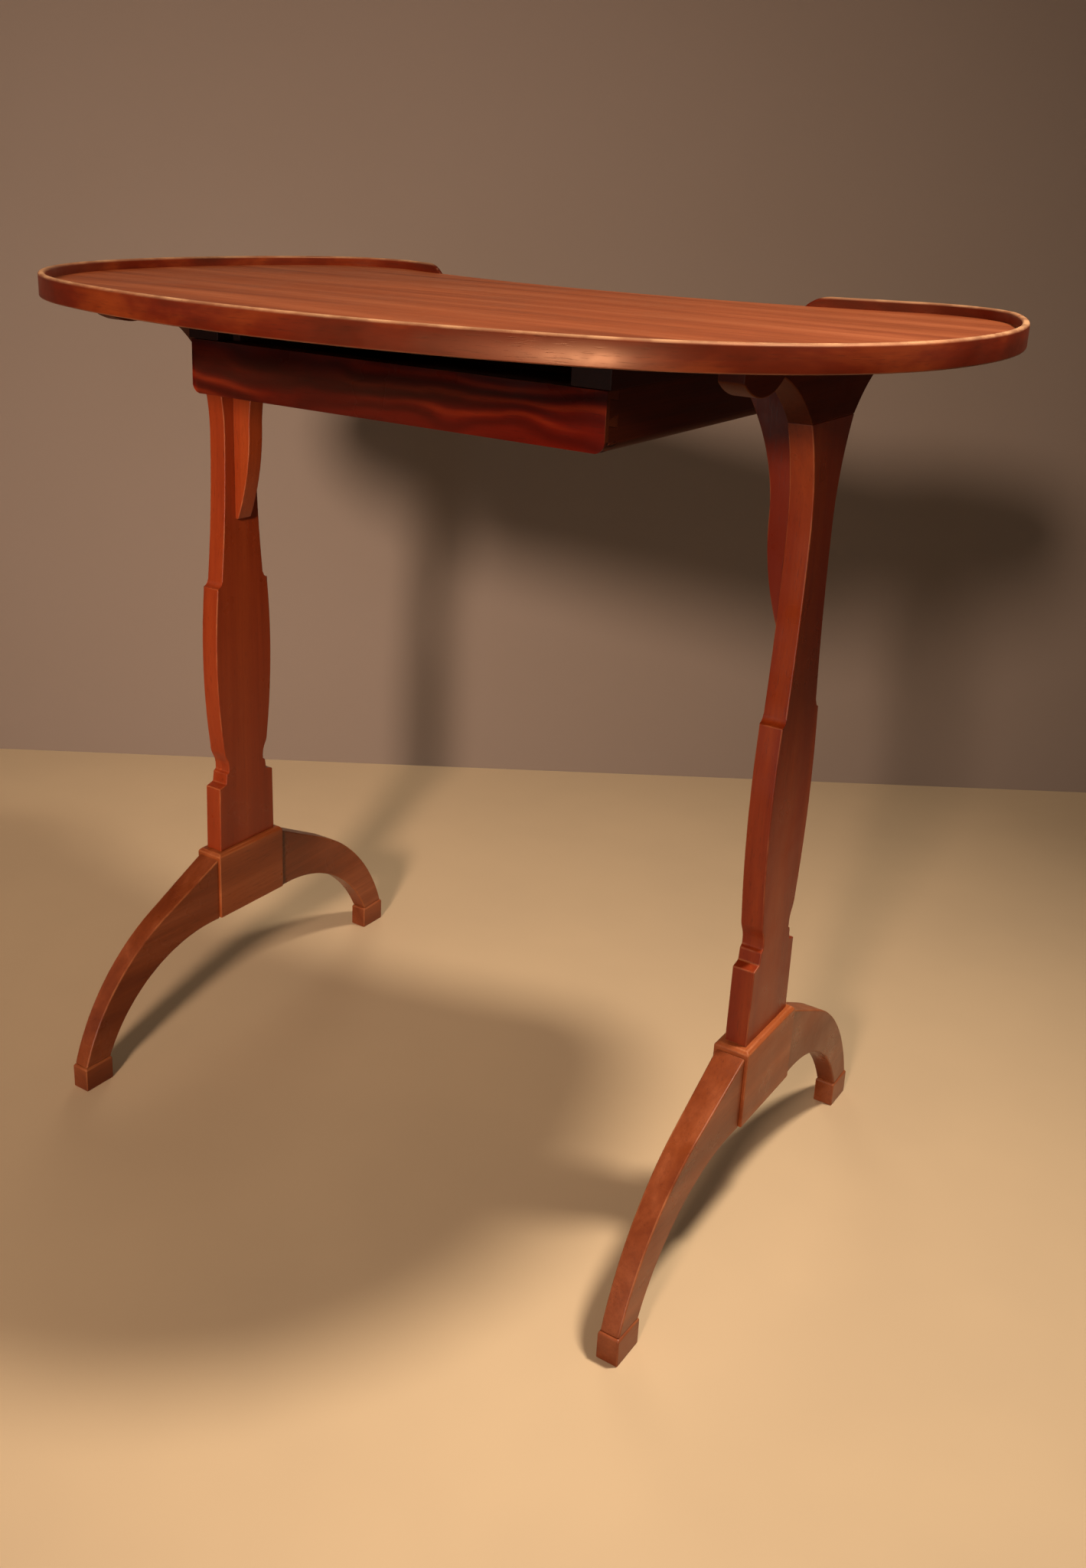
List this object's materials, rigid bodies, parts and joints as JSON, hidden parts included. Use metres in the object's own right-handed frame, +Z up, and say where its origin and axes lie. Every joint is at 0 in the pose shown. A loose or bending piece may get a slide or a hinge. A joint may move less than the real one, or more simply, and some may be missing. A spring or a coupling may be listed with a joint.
{
  "type": "kidney-shaped side table with drawer",
  "caption": "Kidney-shaped side table with a raised edge, baluster end supports on arched feet, and a shallow drawer that hangs under the top and slides out at the hollow side.",
  "frame": {"origin": "on the floor, under the middle of the top's length and depth", "axes": "+X along the table's length, -Y towards the rounded side with the raised edge, +Y towards the hollow side where a person sits and the drawer opens, +Z up"},
  "size_m": [0.7866, 0.5232, 0.73],
  "materials": {
    "mahogany_top": "french polished mahogany, satin to gloss",
    "mahogany_edge": "french polished mahogany, gloss, worn pale on the arris",
    "mahogany_frame": "french polished mahogany, gloss",
    "flame_veneer": "figured mahogany veneer, gloss",
    "mahogany_knob": "turned mahogany, gloss",
    "drawer_lining": "plain waxed mahogany, matt",
    "dowel_wood": "bare beech, matt",
    "screw_steel": "dulled steel"
  },
  "bodies": {
    "table": {"column_left": "mahogany_frame", "column_right": "mahogany_frame", "bearer_left": "mahogany_frame", "bearer_right": "mahogany_frame", "corbel_left": "mahogany_frame", "corbel_right": "mahogany_frame", "foot_block_left": "mahogany_frame", "foot_block_right": "mahogany_frame", "foot_arm_left_front": "mahogany_frame", "foot_arm_left_rear": "mahogany_frame", "foot_arm_right_front": "mahogany_frame", "foot_arm_right_rear": "mahogany_frame", "foot_pad_left_front": "mahogany_frame", "foot_pad_left_rear": "mahogany_frame", "foot_pad_right_front": "mahogany_frame", "foot_pad_right_rear": "mahogany_frame", "drawer_rail_left": "mahogany_frame", "drawer_rail_right": "mahogany_frame", "table_top_board": "mahogany_top", "raised_edge_band": "mahogany_edge", "pad_dowels": "dowel_wood", "bearer_screws": "screw_steel", "corbel_screws": "screw_steel", "rail_screws": "screw_steel"},
    "drawer": {"drawer_front_veneer": "flame_veneer", "drawer_back_veneer": "flame_veneer", "drawer_knob_left": "mahogany_knob", "drawer_knob_right": "mahogany_knob", "drawer_front": "drawer_lining", "drawer_back": "drawer_lining", "drawer_side_left": "drawer_lining", "drawer_side_right": "drawer_lining", "drawer_bottom": "drawer_lining", "hanger_strip_left": "drawer_lining", "hanger_strip_right": "drawer_lining"}
  },
  "joints": [
    {"name": "drawer_slide", "type": "slide", "parent": "table", "child": "drawer", "axis": [0, 1, 0], "range_m": [0, 0.19]}
  ]
}
